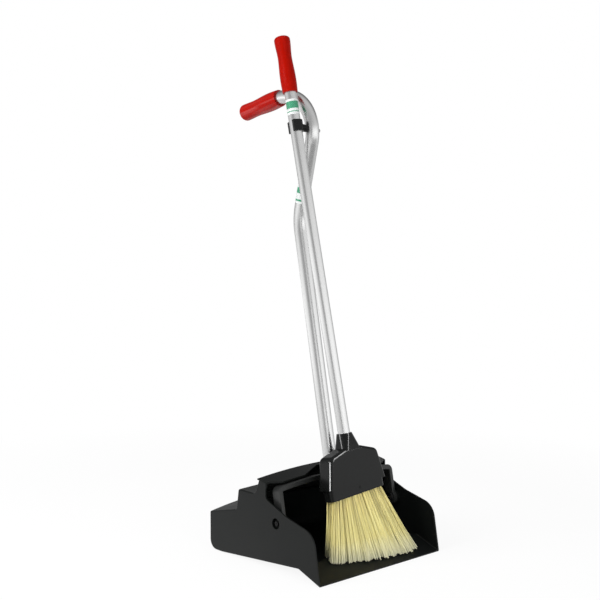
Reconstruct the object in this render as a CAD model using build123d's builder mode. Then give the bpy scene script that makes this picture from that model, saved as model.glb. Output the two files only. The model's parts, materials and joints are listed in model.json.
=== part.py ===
from build123d import *

import math
import os

os.makedirs("parts", exist_ok=True)

# Lobby dustpan with its broom. Millimetres, Z up. The mouth faces -Y and X runs across the pan.
# The origin is on the floor, under the middle of the heel pad.

# Pan, measured back from the lip and up from the floor
pan_width = 305.0
pan_depth = 300.0
wall = 3.0
lip_thickness = 1.6
ridge_back = 52.5
ridge_height = 18.4
heel_radius = 18.0
heel_pad = 17.0
cheek_setback = 14.5
cheek_height = 84.0
cheek_corner_radius = 32.0
cheek_bend_back = 83.5
cheek_bend_height = 101.0
throat_back = 137.5
throat_low = 122.5
throat_radius = 9.0
hood_front = 121.5
hood_front_height = 149.0
hood_back = 156.5
hood_back_height = 154.2
hood_flange = 3.5
hood_flange_thickness = 2.0
hood_crown = 9.3
hood_edge_radius = 9.0
hood_corner_width = 26.5
hood_corner_depth = 13.5
deck_front = 167.5
deck_back = 214.5
deck_height = 126.5
deck_crown = 4.0
tail_front = 220.5
tail_front_height = 88.2
tail_back_height = 69.6
tail_crown = 14.5
roof_edge_radius = 2.5
chamber_edge_radius = 2.0
pad_drop = 0.5
notch_flare = 55.0
notch_room = 3.0
rest_gap = 0.4

# Pivots of the yoke in the cheeks
pivot_back = 110.0
pivot_height = 84.0
cup_diameter = 19.2
cup_depth = 6.0
cup_floor = 2.9
cup_wall = 3.0
pin_diameter = 6.0
pin_head_diameter = 8.4
pin_head_thickness = 4.4
pin_dimple = 3.0
retainer_diameter = 16.0
retainer_thickness = 2.0

# Yoke
arm_thickness = 8.0
bar_thickness = 9.0
bar_depth = 21.0
bar_top = 61.5
bar_crown = 8.5
arm_end_radius = 13.0
yoke_corner_radius = 12.0
yoke_edge_radius = 1.6
socket_wall = 3.8
socket_top = 82.0
gusset_length = 30.0
gusset_thickness = 6.0

# Handle tube and its grip
tube_diameter = 25.4
tube_wall = 1.3
handle_lean = 10.86
handle_offset = 6.4
tube_seat = 57.0
lower_run = 463.5
neck_lean = 14.0
neck_radius = 111.7
neck_run = 117.8
crown_radius = 77.8
grip_droop = 8.9
grip_set = 2.5
handle_grip_length = 110.5
grip_end_wall = 10.0
grip_end_radius = 6.5
handle_grip_mouth = 16.3
handle_grip_belly = 17.4
handle_grip_waist = 15.6
handle_grip_flare = 16.4

# Cross bolt in the socket
bolt_diameter = 5.0
bolt_height = 70.0
bolt_head_diameter = 9.5
bolt_head_thickness = 3.4
nut_across_flats = 8.0
nut_thickness = 4.0
bolt_stub = 2.0
spot_face_depth = 1.2

# Clip on the handle
clip_height = 782.0
clip_reach = 34.3
clip_turn = 17.0
clip_rise = 4.2
clip_length = 21.0
clip_wall = 2.6
jaw_reach = 9.3
stem_diameter = 13.8
screw_diameter = 4.0
screw_head_diameter = 8.0
screw_head_thickness = 2.6
screw_bite = 8.5

# Broom
broom_tube_diameter = 22.2
broom_tube_wall = 1.2
broom_foot_x = -1.2
broom_foot_back = 48.0
broom_foot_height = 20.0
broom_length = 950.5
broom_grip_length = 106.0
broom_grip_mouth = 13.9
broom_grip_belly = 14.6
broom_grip_waist = 13.2
broom_grip_flare = 15.0
block_bottom = 100.0
block_slant = 2.4
cap_bottom = 120.5
cap_half_width = 70.5
cap_shoulder_half_width = 59.0
cap_shoulder_height = 175.0
cap_front = 19.5
cap_back = 14.5
cap_edge_radius = 6.5
cap_wall = 3.5
cap_shoulder_radius = 12.0
neck_root_half_width = 21.5
neck_root_front = 19.0
neck_root_back = 13.5
neck_root_height = 186.0
neck_half_width = 13.9
neck_corner_radius = 9.0
neck_seat = 13.0
neck_top = 212.0
neck_depth = 38.0
block_half_width = 66.5
block_front = 16.5
block_back = 10.0
block_corner_radius = 8.0
tongue_margin = 7.0
tongue_height = 13.0
nub_diameter = 5.0
nub_height = 1.0
nub_across = 4.5
nub_drop = 7.0

# Bristles
strand_columns = 48
strand_rows = 8
strand_radius = 0.75
strand_margin = 6.0
backing_thickness = 1.5
tip_spread = 1.68
tip_drift = 14.0
tip_depth_spread = 1.57
tip_forward = 7.5
tip_skew = 3.0
tip_taper = 0.053
tip_twist = 0.2
tip_gap = 1.0

# Fits
running_fit = 0.05
slip_fit = 0.2
body_gap = 0.3

# Places worked out from the sizes above
half_width = pan_width / 2
inner_half = half_width - wall
heel_pad_back = pan_depth - heel_radius - heel_pad
lip_y = heel_radius + heel_pad / 2 - pan_depth
pivot_y = lip_y + pivot_back
tube_radius = tube_diameter / 2
broom_radius = broom_tube_diameter / 2
socket_radius = tube_radius + socket_wall
cup_reach = cup_depth + cup_floor
arm_out = half_width - cup_reach - body_gap
arm_in = arm_out - arm_thickness

lean = math.radians(handle_lean)
stem_up = Vector(0, math.sin(lean), math.cos(lean))
stem_back = Vector(0, math.cos(lean), -math.sin(lean))
pivot = Vector(0, pivot_y, pivot_height)
stem_foot = pivot + stem_back * handle_offset
yoke_plane = Plane(origin=pivot, x_dir=(1, 0, 0), z_dir=-stem_back)
stem_plane = Plane(origin=stem_foot, x_dir=(1, 0, 0), z_dir=stem_up)
bolt_centre = stem_foot + stem_up * bolt_height


def stem_y(height):
    """Y of the lower tube's centre line at a height above the floor."""
    return stem_foot.Y + (height - stem_foot.Z) * math.tan(lean)


def at(back, height):
    """A point of the pan's side view."""
    return (lip_y + back, height)


def hood_height(back):
    """Top of the hood's slope at its sides."""
    slope = (hood_back_height - hood_front_height) / (hood_back - hood_front)
    return hood_front_height + slope * (back - hood_front)


def floor_height(back):
    """Top of the pan's floor: the ramp up to the ridge, then the slope down to the heel."""
    if back < ridge_back:
        return lip_thickness + (ridge_height + wall - lip_thickness) * back / ridge_back
    fall = (ridge_height - pad_drop) / (heel_pad_back - ridge_back)
    return wall + pad_drop + fall * max(0.0, heel_pad_back - back)


# Pan shell
flange_back = hood_back + hood_flange
throat_high = hood_height(throat_back) - wall
shell_radii = [0, cheek_corner_radius, 40, throat_radius, throat_radius, 0, 0, 0, 0, 0, 10, 3.5, 6, 3, heel_radius, 0, 8]
chamber_radii = [0, 8, 0, heel_radius, 6, 6, 7, 10, 5, 0]
mouth_reach = 30.0


def shell_points(rise):
    """Outer side view of the pan from lip to heel, 0 at the cheeks and 1 in the middle of the crowned roof."""
    hood_rise, deck_rise, tail_rise = (rise * crown for crown in (hood_crown, deck_crown, tail_crown))
    return [
        at(0, 0),
        at(cheek_setback, cheek_height),
        at(cheek_bend_back, cheek_bend_height),
        at(throat_back, throat_low),
        at(throat_back, throat_high + hood_rise),
        at(hood_front, hood_front_height - wall + hood_rise),
        at(hood_front, hood_front_height + hood_rise),
        at(flange_back, hood_height(flange_back) + hood_rise),
        at(flange_back, hood_height(flange_back) - hood_flange_thickness + hood_rise),
        at(hood_back, hood_back_height - hood_flange_thickness + hood_rise),
        at(deck_front, deck_height + deck_rise),
        at(deck_back, deck_height + deck_rise),
        at(tail_front, tail_front_height + tail_rise),
        at(pan_depth, tail_back_height + tail_rise),
        at(pan_depth, pad_drop),
        at(heel_pad_back, pad_drop),
        at(ridge_back, ridge_height),
    ]


def chamber_points(rise):
    """Side view of the hollow before the wall is taken off, open past the mouth."""
    hood_rise, deck_rise, tail_rise = (rise * crown for crown in (hood_crown, deck_crown, tail_crown))
    ramp_slope = (ridge_height + wall - lip_thickness) / ridge_back
    return [
        at(-mouth_reach, ridge_height - ramp_slope * (ridge_back + mouth_reach)),
        at(ridge_back, ridge_height),
        at(heel_pad_back, pad_drop),
        at(pan_depth, pad_drop),
        at(pan_depth, tail_back_height + tail_rise),
        at(tail_front, tail_front_height + tail_rise),
        at(deck_back, deck_height + deck_rise),
        at(deck_front, deck_height + deck_rise),
        at(hood_back, hood_back_height + hood_rise),
        at(-mouth_reach, hood_height(-mouth_reach) + hood_rise),
    ]


with BuildPart() as chamber:
    for x, rise in ((-inner_half, 0), (0, 1), (inner_half, 0)):
        with BuildSketch(Plane.YZ.offset(x)):
            with BuildLine():
                FilletPolyline(*chamber_points(rise), radius=chamber_radii, close=True)
            make_face()
            offset(amount=-wall, kind=Kind.INTERSECTION, mode=Mode.REPLACE)
    loft()
    chamber_edges = chamber.faces().filter_by(Axis.X).edges()
    fillet(chamber_edges.filter_by(lambda edge: edge.center().Y > lip_y + 1 - mouth_reach), radius=chamber_edge_radius)


def is_roof_edge(edge):
    """True for the side edges of the roof, the back and the heel."""
    middle = edge.center()
    behind_hood = middle.Y > lip_y + hood_back and middle.Z < hood_back_height - hood_flange
    return behind_hood and (middle.Z > tail_back_height / 2 or middle.Y > lip_y + heel_pad_back)


notch_y = stem_y(hood_back_height + hood_crown) + socket_radius / math.cos(lean) + rest_gap
with BuildPart() as pan_shell:
    for x, rise in ((-half_width, 0), (0, 1), (half_width, 0)):
        with BuildSketch(Plane.YZ.offset(x)):
            with BuildLine():
                FilletPolyline(*shell_points(rise), radius=shell_radii, close=True)
            make_face()
    loft()
    roof_edges = pan_shell.faces().filter_by(Axis.X).edges().filter_by(is_roof_edge)
    fillet(roof_edges, radius=roof_edge_radius)
    add(chamber.part, mode=Mode.SUBTRACT)
    # Flat pad under the heel
    with BuildSketch(Plane.XY):
        with Locations((0, 0)):
            Rectangle(pan_width - 4 * roof_edge_radius, heel_pad)
    extrude(amount=wall)
    # Notch that the handle leans into
    with BuildSketch(Plane.XY.offset(throat_high)):
        notch_half = socket_radius + notch_room
        with BuildLine():
            Polyline(
                (-notch_half - notch_flare, lip_y + hood_front),
                (notch_half + notch_flare, lip_y + hood_front),
                (notch_half, notch_y),
                (-notch_half, notch_y),
                close=True,
            )
        make_face()
    extrude(amount=hood_back_height + 2 * hood_crown - throat_high, mode=Mode.SUBTRACT)
    # Side edges of the hood: rounded in front, running out to a sharp corner at the flange
    round_start = half_width - hood_edge_radius
    round_rise = hood_crown * (1 - (round_start / half_width) ** 2)
    run_out = hood_edge_radius * (1 - math.sqrt(0.5))
    hood_tip = Vector(0, lip_y + flange_back + 1, hood_height(flange_back + 1) + round_rise)
    hood_nose = Vector(0, lip_y + hood_front - 1, hood_height(hood_front - 1) + round_rise)
    for side in (-1, 1):
        with BuildSketch(Plane(origin=hood_nose, x_dir=(1, 0, 0), z_dir=hood_nose - hood_tip)):
            with Locations((side * half_width, 0)):
                Rectangle(2 * hood_edge_radius, 2 * hood_edge_radius)
            with Locations((side * round_start, -hood_edge_radius)):
                Circle(hood_edge_radius, mode=Mode.SUBTRACT)
        round_run = hood_tip - hood_nose + Vector(side * run_out, 0, run_out)
        extrude(amount=round_run.length, dir=round_run.normalized(), mode=Mode.SUBTRACT)
    # Front corners of the hood, cut back to the cheeks
    with BuildSketch(Plane.XY.offset(throat_high - throat_radius - 1)):
        for side in (-1, 1):
            with BuildLine():
                Polyline(
                    (side * (half_width - hood_corner_width), lip_y + hood_front),
                    (side * (round_start - 1), lip_y + hood_front + hood_corner_depth),
                    (side * (half_width + 1), lip_y + throat_back),
                    (side * (half_width + 1), lip_y + hood_front - 1),
                    (side * (half_width - hood_corner_width), lip_y + hood_front - 1),
                    close=True,
                )
            make_face()
    extrude(amount=throat_radius + 2 * hood_crown, mode=Mode.SUBTRACT)
    # Pivot cups let into the cheeks from outside
    for side in (-1, 1):
        cup_plane = Plane(origin=(side * half_width, pivot_y, pivot_height), x_dir=(0, 1, 0), z_dir=(-side, 0, 0))
        with BuildSketch(cup_plane):
            Circle(cup_diameter / 2 + cup_wall)
        extrude(amount=cup_reach)
        with BuildSketch(cup_plane):
            Circle(cup_diameter / 2)
        extrude(amount=cup_depth, mode=Mode.SUBTRACT)
        with BuildSketch(cup_plane):
            Circle(pin_diameter / 2 + running_fit)
        extrude(amount=cup_reach, mode=Mode.SUBTRACT)
pan_shell.part.label = "pan_shell"
export_step(pan_shell.part, "parts/pan_shell.step")


# Yoke: a U-frame between the cheeks, with the socket that takes the tube
with BuildPart() as yoke:
    bar_under = bar_top - bar_thickness
    with BuildSketch(yoke_plane):
        with BuildLine():
            Polyline((-arm_out, bar_top), (-arm_out, 0), (-arm_in, 0), (-arm_in, bar_under))
            ThreePointArc((-arm_in, bar_under), (0, bar_under + bar_crown), (arm_in, bar_under))
            Polyline((arm_in, bar_under), (arm_in, 0), (arm_out, 0), (arm_out, bar_top))
            ThreePointArc((arm_out, bar_top), (0, bar_top + bar_crown), (-arm_out, bar_top))
        frame_face = make_face()
        outer = frame_face.vertices().filter_by(lambda vertex: (vertex.Y > bar_top - 1))
        fillet(outer, radius=yoke_corner_radius)
        inner = frame_face.vertices().filter_by(lambda vertex: abs(vertex.Y - bar_under) < 1)
        fillet(inner, radius=yoke_corner_radius / 2)
    extrude(amount=bar_depth / 2, both=True)
    frame_edges = yoke.faces().filter_by(Axis((0, 0, 0), stem_back)).edges()
    fillet(frame_edges.filter_by(lambda edge: edge.center().Z > pivot_height + 1), radius=yoke_edge_radius)
    for side in (-1, 1):
        with BuildSketch(Plane(origin=(side * arm_in, pivot_y, pivot_height), x_dir=(0, 1, 0), z_dir=(side, 0, 0))):
            Circle(arm_end_radius)
        extrude(amount=arm_thickness)
    # Socket and its side gussets
    with BuildSketch(stem_plane.offset(bar_under)):
        Circle(socket_radius)
    extrude(amount=socket_top - bar_under)
    with BuildSketch(Plane(origin=stem_foot, x_dir=(1, 0, 0), z_dir=-stem_back)):
        with BuildLine():
            Polyline(
                (-socket_radius - gusset_length, bar_top + bar_crown - 3),
                (socket_radius + gusset_length, bar_top + bar_crown - 3),
                (socket_radius - 1, socket_top - 3),
                (1 - socket_radius, socket_top - 3),
                close=True,
            )
        make_face()
    extrude(amount=gusset_thickness / 2, both=True)
    # Flats for the bolt's head and nut
    for side in (-1, 1):
        flat_x = socket_radius - spot_face_depth
        with BuildSketch(Plane(origin=bolt_centre + Vector(side * flat_x, 0, 0), x_dir=stem_back, z_dir=(side, 0, 0))):
            Circle(bolt_head_diameter / 2 + 1.5)
        extrude(amount=gusset_length, mode=Mode.SUBTRACT)
    with BuildSketch(stem_plane.offset(tube_seat)):
        Circle(tube_radius + running_fit)
    extrude(amount=socket_top, mode=Mode.SUBTRACT)
    with BuildSketch(Plane(origin=bolt_centre, x_dir=stem_back, z_dir=(1, 0, 0))):
        Circle(bolt_diameter / 2 + slip_fit / 2)
    extrude(amount=2 * socket_radius, both=True, mode=Mode.SUBTRACT)
    with BuildSketch(Plane(origin=pivot, x_dir=(0, 1, 0), z_dir=(1, 0, 0))):
        Circle(pin_diameter / 2 + running_fit)
    extrude(amount=half_width, both=True, mode=Mode.SUBTRACT)
yoke.part.label = "yoke"
export_step(yoke.part, "parts/yoke.step")

# Headed pins from outside and push-on retainers inside the arms
for side, name in ((-1, "left"), (1, "right")):
    out_plane = Plane(origin=(0, pivot_y, pivot_height), x_dir=(side, 0, 0), z_dir=(0, 0, 1))
    pin_axis = Axis((0, pivot_y, pivot_height), (side, 0, 0))
    head_under = half_width - cup_depth + body_gap
    head_top = head_under + pin_head_thickness
    shank_end = arm_in - retainer_thickness - 1
    with BuildPart() as pivot_pin:
        with BuildSketch(out_plane):
            with BuildLine():
                Polyline(
                    (shank_end, 0),
                    (shank_end, pin_diameter / 2 - 1),
                    (shank_end + 1, pin_diameter / 2),
                    (head_under, pin_diameter / 2),
                    (head_under, pin_head_diameter / 2),
                    (head_top, pin_head_diameter / 2),
                    (head_top, pin_dimple / 2),
                    (head_top - 1, 0),
                    close=True,
                )
            make_face()
        revolve(axis=pin_axis)
    pivot_pin.part.label = f"pivot_pin_{name}"
    export_step(pivot_pin.part, f"parts/pivot_pin_{name}.step")

    with BuildPart() as pivot_retainer:
        with BuildSketch(out_plane):
            with BuildLine():
                Polyline(
                    (arm_in, pin_diameter / 2 + running_fit),
                    (arm_in, retainer_diameter / 2),
                    (arm_in - retainer_thickness / 2, retainer_diameter / 2),
                    (arm_in - retainer_thickness, pin_diameter / 2 + running_fit),
                    close=True,
                )
            make_face()
        revolve(axis=pin_axis)
    pivot_retainer.part.label = f"pivot_retainer_{name}"
    export_step(pivot_retainer.part, f"parts/pivot_retainer_{name}.step")

# Line of the handle tube: straight, swan neck, then over the top and back to the grip
grip_tube = grip_set + handle_grip_length - grip_end_wall
tube_foot = stem_foot + stem_up * tube_seat
with BuildLine(Plane.YZ) as tube_line:
    lower = PolarLine((tube_foot.Y, tube_foot.Z), lower_run, 90 - handle_lean)
    neck = JernArc(lower @ 1, lower % 1, neck_radius, handle_lean + neck_lean)
    riser = PolarLine(neck @ 1, neck_run, 90 + neck_lean)
    crown = JernArc(riser @ 1, riser % 1, crown_radius, -90 - neck_lean - grip_droop)
    end = PolarLine(crown @ 1, grip_tube, -grip_droop)
with BuildLine(Plane.YZ) as saddle_line:
    half_riser = PolarLine(neck @ 1 + (riser @ 1 - neck @ 1) * 0.5, neck_run / 2, 90 + neck_lean)
    JernArc(half_riser @ 1, half_riser % 1, crown_radius, -90)
above_crown = clip_height - crown.arc_center.Z
clip_root = Vector(0, crown.arc_center.Y - math.sqrt(crown_radius**2 - above_crown**2), clip_height)
crown_end = Vector(0, 0, 0) + crown @ 1
grip_out = (Vector(0, 0, 0) + end @ 1 - crown_end).normalized()
grip_root = crown_end + grip_out * grip_set

# Line of the broom: from its foot on the pan's floor through the middle of the clip
broom_foot = Vector(broom_foot_x, lip_y + broom_foot_back, broom_foot_height)
turn = math.radians(clip_turn)
clip_centre = clip_root + Vector(-math.cos(turn) * clip_reach, math.sin(turn) * clip_reach, clip_rise)
clip_out = (clip_centre - clip_root).normalized()
broom_up = (clip_centre - broom_foot).normalized()
jaw_out = (clip_out - broom_up * clip_out.dot(broom_up)).normalized()
broom_across = (Vector(1, 0, 0) - broom_up * broom_up.X).normalized()
broom_back = broom_up.cross(broom_across)
broom_plane = Plane(origin=broom_foot, x_dir=broom_across, z_dir=broom_up)


def front_plane(height):
    """Plane through the broom's axis that faces the mouth, with its origin at a height along the axis."""
    return Plane(origin=broom_foot + broom_up * height, x_dir=broom_across, z_dir=-broom_back)


with BuildPart() as handle_tube:
    with BuildSketch(Plane(origin=tube_foot, x_dir=(1, 0, 0), z_dir=stem_up)):
        Circle(tube_radius)
        Circle(tube_radius - tube_wall, mode=Mode.SUBTRACT)
    sweep(path=tube_line.wire())
    with BuildSketch(Plane(origin=bolt_centre, x_dir=stem_back, z_dir=(1, 0, 0))):
        Circle(bolt_diameter / 2 + slip_fit / 2)
    extrude(amount=tube_diameter, both=True, mode=Mode.SUBTRACT)
    with BuildSketch(Plane(origin=clip_root, x_dir=(0, 0, 1), z_dir=clip_out)):
        Circle(screw_diameter / 2 + slip_fit / 2)
    extrude(amount=tube_diameter, both=True, mode=Mode.SUBTRACT)
handle_tube.part.label = "handle_tube"
export_step(handle_tube.part, "parts/handle_tube.step")

# Bolt and nut through the socket and the tube
seat_x = socket_radius - spot_face_depth
bolt_axis = Axis(bolt_centre, (1, 0, 0))
with BuildPart() as socket_bolt:
    with BuildSketch(Plane(origin=bolt_centre, x_dir=(1, 0, 0), z_dir=stem_back)):
        with BuildLine():
            Polyline(
                (-seat_x - bolt_head_thickness, 0),
                (-seat_x - bolt_head_thickness, bolt_head_diameter / 2 - 2),
                (-seat_x - 1, bolt_head_diameter / 2),
                (-seat_x, bolt_head_diameter / 2),
                (-seat_x, bolt_diameter / 2),
                (seat_x + nut_thickness + bolt_stub, bolt_diameter / 2),
                (seat_x + nut_thickness + bolt_stub, 0),
                close=True,
            )
        make_face()
    revolve(axis=bolt_axis)
socket_bolt.part.label = "socket_bolt"
export_step(socket_bolt.part, "parts/socket_bolt.step")

with BuildPart() as socket_nut:
    nut_seat = bolt_centre + Vector(seat_x, 0, 0)
    with BuildSketch(Plane(origin=nut_seat, x_dir=stem_back, z_dir=(1, 0, 0))):
        RegularPolygon(nut_across_flats / 2, 6, major_radius=False)
        Circle(bolt_diameter / 2 + running_fit, mode=Mode.SUBTRACT)
    extrude(amount=nut_thickness)
socket_nut.part.label = "socket_nut"
export_step(socket_nut.part, "parts/socket_nut.step")


def draw_grip(length, mouth, belly, waist, flare, bore, bore_depth):
    """Half outline of a closed grip: swelling by the mouth, waist, flared round end, and the tube's bore."""
    Spline(
        (mouth, 0),
        (belly, 0.34 * length),
        (waist, 0.66 * length),
        (flare, length - grip_end_radius),
        tangents=((0.08, 1), (0, 1)),
    )
    round_middle = (flare - grip_end_radius, length - grip_end_radius)
    CenterArc(round_middle, grip_end_radius, start_angle=0, arc_size=90)
    Polyline((round_middle[0], length), (0, length), (0, bore_depth), (bore, bore_depth), (bore, 0), (mouth, 0))


with BuildPart() as handle_grip:
    with BuildSketch(Plane(origin=grip_root, x_dir=(1, 0, 0), z_dir=Vector(1, 0, 0).cross(grip_out))):
        with BuildLine():
            draw_grip(
                handle_grip_length,
                handle_grip_mouth,
                handle_grip_belly,
                handle_grip_waist,
                handle_grip_flare,
                tube_radius + running_fit,
                handle_grip_length - grip_end_wall,
            )
        make_face()
    revolve(axis=Axis(grip_root, grip_out))
handle_grip.part.label = "handle_grip"
export_step(handle_grip.part, "parts/handle_grip.step")

# C-clip: jaws around the broom's tube, round stem seated on the handle's tube
jaw_radius = broom_radius + slip_fit
clip_half = jaw_radius + clip_wall
clip_plane = Plane(origin=clip_centre, x_dir=jaw_out, z_dir=broom_up)
with BuildPart() as broom_clip:
    with BuildSketch(clip_plane.offset(-clip_length / 2)):
        with BuildLine():
            FilletPolyline(
                (-clip_half, -clip_half),
                (jaw_reach, -clip_half),
                (jaw_reach, clip_half),
                (-clip_half, clip_half),
                radius=[clip_half - 0.5, 1.5, 1.5, clip_half - 0.5],
                close=True,
            )
        make_face()
    extrude(amount=clip_length)
    with BuildSketch(Plane(origin=clip_root, x_dir=(0, 0, 1), z_dir=clip_out)):
        Circle(stem_diameter / 2)
    extrude(amount=clip_reach - jaw_radius)
    with BuildSketch(clip_plane.offset(-clip_length)):
        Circle(jaw_radius)
    extrude(amount=2 * clip_length, mode=Mode.SUBTRACT)
    with BuildSketch(Plane(origin=clip_root, x_dir=(0, 0, 1), z_dir=clip_out)):
        Circle(screw_diameter / 2 + running_fit)
    extrude(amount=tube_radius + screw_bite + 1, mode=Mode.SUBTRACT)
    with BuildSketch(Plane(origin=Vector(0, 0, 0) + riser @ 0.5, x_dir=(1, 0, 0), z_dir=Vector(0, 0, 0) + riser % 0.5)):
        Circle(tube_radius + running_fit)
    sweep(path=saddle_line.wire(), mode=Mode.SUBTRACT)
broom_clip.part.label = "broom_clip"
export_step(broom_clip.part, "parts/broom_clip.step")

# Screw from the far side of the handle's tube into the clip's stem
with BuildPart() as clip_screw:
    screw_side = clip_out.cross(Vector(0, 0, 1)).normalized()
    head_seat = -tube_radius - running_fit
    with BuildSketch(Plane(origin=clip_root, x_dir=clip_out, z_dir=clip_out.cross(screw_side))):
        with BuildLine():
            Polyline(
                (head_seat - screw_head_thickness, 0),
                (head_seat - screw_head_thickness, screw_head_diameter / 2 - 1.6),
                (head_seat - 0.8, screw_head_diameter / 2),
                (head_seat, screw_head_diameter / 2),
                (head_seat, screw_diameter / 2),
                (tube_radius + screw_bite - 1.5, screw_diameter / 2),
                (tube_radius + screw_bite, 0),
                close=True,
            )
        make_face()
    revolve(axis=Axis(clip_root, clip_out))
clip_screw.part.label = "clip_screw"
export_step(clip_screw.part, "parts/clip_screw.step")

# Broom tube, pushed into the neck of the head
tube_bottom = neck_top - neck_depth
grip_bottom = broom_length - broom_grip_length
broom_tube_top = broom_length - grip_end_wall
screw_height = neck_top - neck_depth / 3
with BuildPart() as broom_tube:
    with BuildSketch(broom_plane.offset(tube_bottom)):
        Circle(broom_radius)
        Circle(broom_radius - broom_tube_wall, mode=Mode.SUBTRACT)
    extrude(amount=broom_tube_top - tube_bottom)
    with BuildSketch(front_plane(screw_height)):
        Circle(screw_diameter / 2 + slip_fit / 2)
    extrude(amount=-broom_tube_diameter, mode=Mode.SUBTRACT)
broom_tube.part.label = "broom_tube"
export_step(broom_tube.part, "parts/broom_tube.step")

with BuildPart() as broom_grip:
    with BuildSketch(front_plane(grip_bottom)):
        with BuildLine():
            draw_grip(
                broom_grip_length,
                broom_grip_mouth,
                broom_grip_belly,
                broom_grip_waist,
                broom_grip_flare,
                broom_radius + running_fit,
                broom_grip_length - grip_end_wall,
            )
        make_face()
    revolve(axis=Axis(broom_foot, broom_up))
broom_grip.part.label = "broom_grip"
export_step(broom_grip.part, "parts/broom_grip.step")

# Head: cap with shoulders and neck
cap_thickness = cap_front + cap_back
tongue_half = block_half_width - tongue_margin
block_thickness = block_front + block_back
block_middle = (block_back - block_front) / 2
tongue_thickness = block_thickness - tongue_margin
block_plane = Plane(origin=broom_foot + broom_back * block_middle, x_dir=broom_across, z_dir=broom_up)
neck_middle = (neck_root_back - neck_root_front) / 2
neck_plane = Plane(origin=broom_foot + broom_back * neck_middle, x_dir=broom_across, z_dir=broom_up)
with BuildPart() as head_cap:
    with BuildSketch(front_plane(0).offset(-cap_back)):
        with BuildLine():
            FilletPolyline(
                (-cap_half_width, cap_bottom),
                (-cap_shoulder_half_width, cap_shoulder_height),
                (-neck_root_half_width, neck_root_height),
                (neck_root_half_width, neck_root_height),
                (cap_shoulder_half_width, cap_shoulder_height),
                (cap_half_width, cap_bottom),
                radius=[0, cap_shoulder_radius, 0, 0, cap_shoulder_radius, 0],
                close=True,
            )
        make_face()
    extrude(amount=cap_thickness)
    face_edges = head_cap.faces().filter_by(Axis((0, 0, 0), broom_back)).edges()
    on_outline = face_edges.filter_by(lambda edge: (edge.center() - broom_foot).dot(broom_up) > cap_bottom + 1)
    fillet(on_outline, radius=cap_edge_radius)
    # Neck, flaring into the shoulders
    with BuildSketch(neck_plane.offset(neck_root_height - 4)):
        RectangleRounded(2 * neck_root_half_width, neck_root_front + neck_root_back, neck_corner_radius)
    with BuildSketch(broom_plane.offset(neck_top)):
        RectangleRounded(2 * neck_half_width, 2 * neck_half_width, neck_half_width - 0.1)
    loft()
    # Flat for the head of the neck's screw
    with BuildSketch(front_plane(screw_height).offset(-neck_seat)):
        Circle(screw_head_diameter / 2 + 1)
    extrude(amount=-cap_thickness, mode=Mode.SUBTRACT)
    with BuildSketch(block_plane.offset(cap_bottom)):
        RectangleRounded(2 * tongue_half + slip_fit, tongue_thickness + slip_fit, block_corner_radius / 2)
    extrude(amount=tongue_height + slip_fit, mode=Mode.SUBTRACT)
    with BuildSketch(front_plane(0).offset(-block_middle)):
        hollow_half = cap_shoulder_half_width - 2 * cap_wall
        hollow_top = cap_shoulder_height - 2 * cap_wall
        with BuildLine():
            Polyline(
                (-tongue_half, cap_bottom + tongue_height),
                (-hollow_half, hollow_top),
                (hollow_half, hollow_top),
                (tongue_half, cap_bottom + tongue_height),
                close=True,
            )
        make_face()
    extrude(amount=tongue_thickness / 2, both=True, mode=Mode.SUBTRACT)
    with BuildSketch(broom_plane.offset(tube_bottom)):
        Circle(broom_radius + running_fit)
    extrude(amount=neck_top, mode=Mode.SUBTRACT)
    with BuildSketch(front_plane(screw_height)):
        Circle(screw_diameter / 2 + running_fit)
    extrude(amount=-cap_thickness, mode=Mode.SUBTRACT)
head_cap.part.label = "head_cap"
export_step(head_cap.part, "parts/head_cap.step")

# Screw through the back of the neck
with BuildPart() as neck_screw:
    with BuildSketch(Plane(origin=broom_foot + broom_up * screw_height, x_dir=broom_back, z_dir=broom_across)):
        with BuildLine():
            Polyline(
                (neck_seat + screw_head_thickness, 0),
                (neck_seat + screw_head_thickness, screw_head_diameter / 2 - 1.6),
                (neck_seat + 0.8, screw_head_diameter / 2),
                (neck_seat, screw_head_diameter / 2),
                (neck_seat, screw_diameter / 2),
                (broom_radius / 2 + 1.5, screw_diameter / 2),
                (broom_radius / 2, 0),
                close=True,
            )
        make_face()
    revolve(axis=Axis(broom_foot + broom_up * screw_height, broom_back))
neck_screw.part.label = "neck_screw"
export_step(neck_screw.part, "parts/neck_screw.step")

# Block under the cap, with a tongue that goes up into it
def block_under(across):
    """Height of the block's slanting underside along the broom."""
    return block_bottom + (across + block_half_width) * math.tan(math.radians(block_slant))


with BuildPart() as bristle_block:
    with BuildSketch(block_plane.offset(block_bottom)):
        RectangleRounded(2 * block_half_width, block_thickness, block_corner_radius)
    extrude(amount=cap_bottom - block_bottom)
    with BuildSketch(front_plane(0)):
        with BuildLine():
            Polyline(
                (-block_half_width, block_bottom),
                (block_half_width + 1, block_under(block_half_width + 1)),
                (block_half_width + 1, block_bottom - 1),
                (-block_half_width, block_bottom - 1),
                close=True,
            )
        make_face()
    extrude(amount=cap_thickness, both=True, mode=Mode.SUBTRACT)
    with BuildSketch(block_plane.offset(cap_bottom)):
        RectangleRounded(2 * tongue_half, tongue_thickness, block_corner_radius / 2)
    extrude(amount=tongue_height)
    with BuildSketch(front_plane(cap_bottom - nub_drop)):
        with Locations((nub_across, 0)):
            Circle(nub_diameter / 2)
    extrude(amount=block_front + nub_height)
bristle_block.part.label = "bristle_block"
export_step(bristle_block.part, "parts/bristle_block.step")

# Bristles: strands that fan out from a thin backing to the pan's floor
strand_half = block_half_width - strand_margin
strand_depth = block_thickness / 2 - strand_margin / 2


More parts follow.
